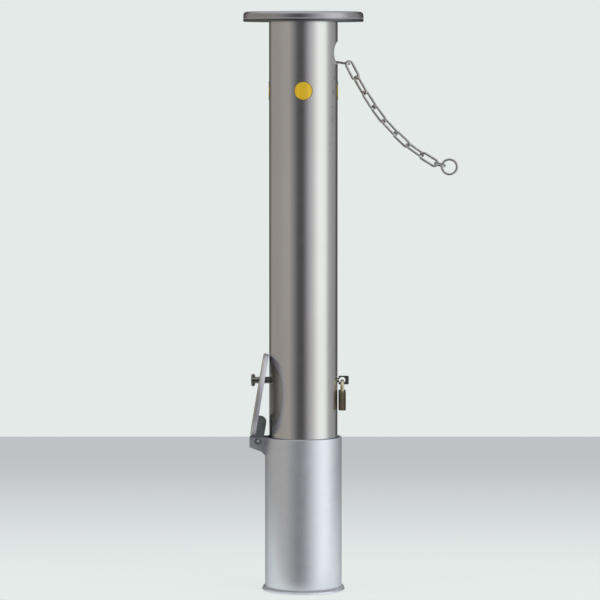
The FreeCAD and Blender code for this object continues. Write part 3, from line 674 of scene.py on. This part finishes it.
def makeHeadSeam():
    # filler bead in the groove between the cap and the plate under it; its brighter colour is a painted highlight
    begin()
    bpy.ops.mesh.primitive_torus_add(major_segments=192, minor_segments=12, major_radius=headSeam["radius"],
                                     minor_radius=headSeam["wire"], location=(0, 0, headSeam["height"]))
    bpy.ops.object.mode_set(mode="EDIT")
    bpy.ops.mesh.select_all(action="SELECT")
    bpy.ops.transform.resize(value=(1, 1, 0.8))
    bpy.ops.object.mode_set(mode="OBJECT")
    endPiece("head_seam", "post", makeHeadSatin("seamHighlightSatin", dict(
        headSatin, metal=0.7, dark=(0.58, 0.57, 0.60), light=(0.70, 0.69, 0.73), rough=(0.34, 0.42))))


makeHeadSeam()

pinBoss = {
    "place": (-0.0673, -0.0177, 0.224),
    "radius": 0.0021,
    "tall": 0.0009,
}


def makePinBoss():
    # domed middle of the pin's head, with a small centre mark; its bright colour is a painted highlight
    begin()
    bpy.ops.mesh.primitive_cylinder_add(vertices=24, radius=pinBoss["radius"], depth=pinBoss["tall"],
                                        location=pinBoss["place"], rotation=(math.radians(90), 0, 0))
    boss = bpy.context.object
    bpy.ops.object.transform_apply(location=True, rotation=True, scale=True)
    bpy.ops.object.mode_set(mode="EDIT")
    bpy.ops.mesh.select_all(action="DESELECT")
    bpy.ops.mesh.select_mode(type="FACE")
    bpy.ops.object.mode_set(mode="OBJECT")
    for face in boss.data.polygons:
        face.select = face.normal.y < -0.9
    bpy.ops.object.mode_set(mode="EDIT")
    bpy.ops.mesh.inset(thickness=pinBoss["radius"] * 0.35)
    bpy.ops.transform.translate(value=(0, -pinBoss["tall"] * 0.4, 0))
    bpy.ops.mesh.inset(thickness=pinBoss["radius"] * 0.4)
    bpy.ops.transform.translate(value=(0, pinBoss["tall"] * 0.35, 0))
    bpy.ops.object.mode_set(mode="OBJECT")
    endPiece("pin_boss", "sleeve", makePinZinc("pinPaintedHighlight", dict(
        pinZinc, dark=(0.50, 0.50, 0.50), light=(0.66, 0.66, 0.66))), 30)


makePinBoss()
print("seam and pin done")


padlockParts = {
    "middle": 0.0578,
    "face": -0.0150,
    "plugs": (0.2742, 4, 0.0046),      # lowest, how many, step
    "plugRadius": 0.0015,
    "seats": (0.0092, 0.2985, 0.0031, 0.00045),      # out from the middle, height, ring, wire
    "collar": (0.2693, 0.0042, 0.0004),
}


def makePinPlugs():
    # brass plugs over the pin chambers, down the narrow side
    begin()
    low, count, step = padlockParts["plugs"]
    bpy.ops.mesh.primitive_cylinder_add(vertices=20, radius=padlockParts["plugRadius"], depth=0.0006,
                                        location=(padlockParts["middle"], padlockParts["face"] + 0.00018, low),
                                        rotation=(math.radians(90), 0, 0))
    plug = bpy.context.object
    bpy.ops.object.transform_apply(location=True, rotation=True, scale=True)
    edge = plug.modifiers.new("edge", "BEVEL")
    edge.width = 0.00012
    edge.segments = 2
    bpy.ops.object.modifier_apply(modifier=edge.name)
    rowOf(plug, count, (0, 0, step))
    endPiece("pin_plugs", "padlock_body", plugBrass)


def makeShackleSeats():
    out, height, ring, wire = padlockParts["seats"]
    begin()
    bpy.ops.mesh.primitive_torus_add(major_segments=32, minor_segments=8, major_radius=ring, minor_radius=wire,
                                     location=(padlockParts["middle"], -out, height))
    seat = bpy.context.object
    bpy.ops.object.transform_apply(location=True, rotation=True, scale=True)
    mirrorAcross(seat)
    endPiece("shackle_seats", "padlock_body", plugBrass)


def makePlugCollar():
    height, ring, wire = padlockParts["collar"]
    begin()
    bpy.ops.mesh.primitive_torus_add(major_segments=40, minor_segments=8, major_radius=ring, minor_radius=wire,
                                     location=(padlockParts["middle"], 0, height))
    bpy.ops.object.mode_set(mode="EDIT")
    bpy.ops.mesh.select_all(action="SELECT")
    bpy.ops.transform.resize(value=(1, 1, 0.7))
    bpy.ops.object.mode_set(mode="OBJECT")
    endPiece("plug_collar", "padlock_body", plugBrass)


plugBrass = makePadlockBrass("plugBrass", dict(padlockBrass, dark=(0.19, 0.155, 0.085), light=(0.30, 0.25, 0.16)))
makePinPlugs()
makeShackleSeats()
makePlugCollar()
print("padlock detailed")


linkWeld = {
    "slopes": (8, 62.6, 60.3, 57.8, 53.3, 47.1, 43.9, 35.5, 31.6),      # degrees below level
    "rolls": (90, -15, 53, -40, 40, -50, 34, -56, 18),
    "side": 0.0051,
    "scale": (0.0015, 0.00196, 0.00196),
}


def makeLinkWelds():
    # the butt weld on one long side of each link
    for index, (slope, roll) in enumerate(zip(linkWeld["slopes"], linkWeld["rolls"])):
        node = f"chain_link_{index}"
        low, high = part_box(node)
        turned = Matrix.Rotation(math.radians(slope), 3, "Y") @ Matrix.Rotation(math.radians(90 + roll), 3, "X")
        middle = (Vector(low) + Vector(high)) / 2 + turned @ Vector((0, linkWeld["side"], 0))
        begin()
        bpy.ops.mesh.primitive_uv_sphere_add(segments=16, ring_count=8, radius=1, location=middle,
                                             scale=linkWeld["scale"], rotation=turned.to_euler())
        bpy.ops.object.mode_set(mode="EDIT")
        bpy.ops.mesh.select_all(action="SELECT")
        bpy.ops.mesh.subdivide(smoothness=1)
        bpy.ops.object.mode_set(mode="OBJECT")
        endPiece(f"link_weld_{index}", node, finishes["chain_stainless"])


makeLinkWelds()
print("chain detailed")
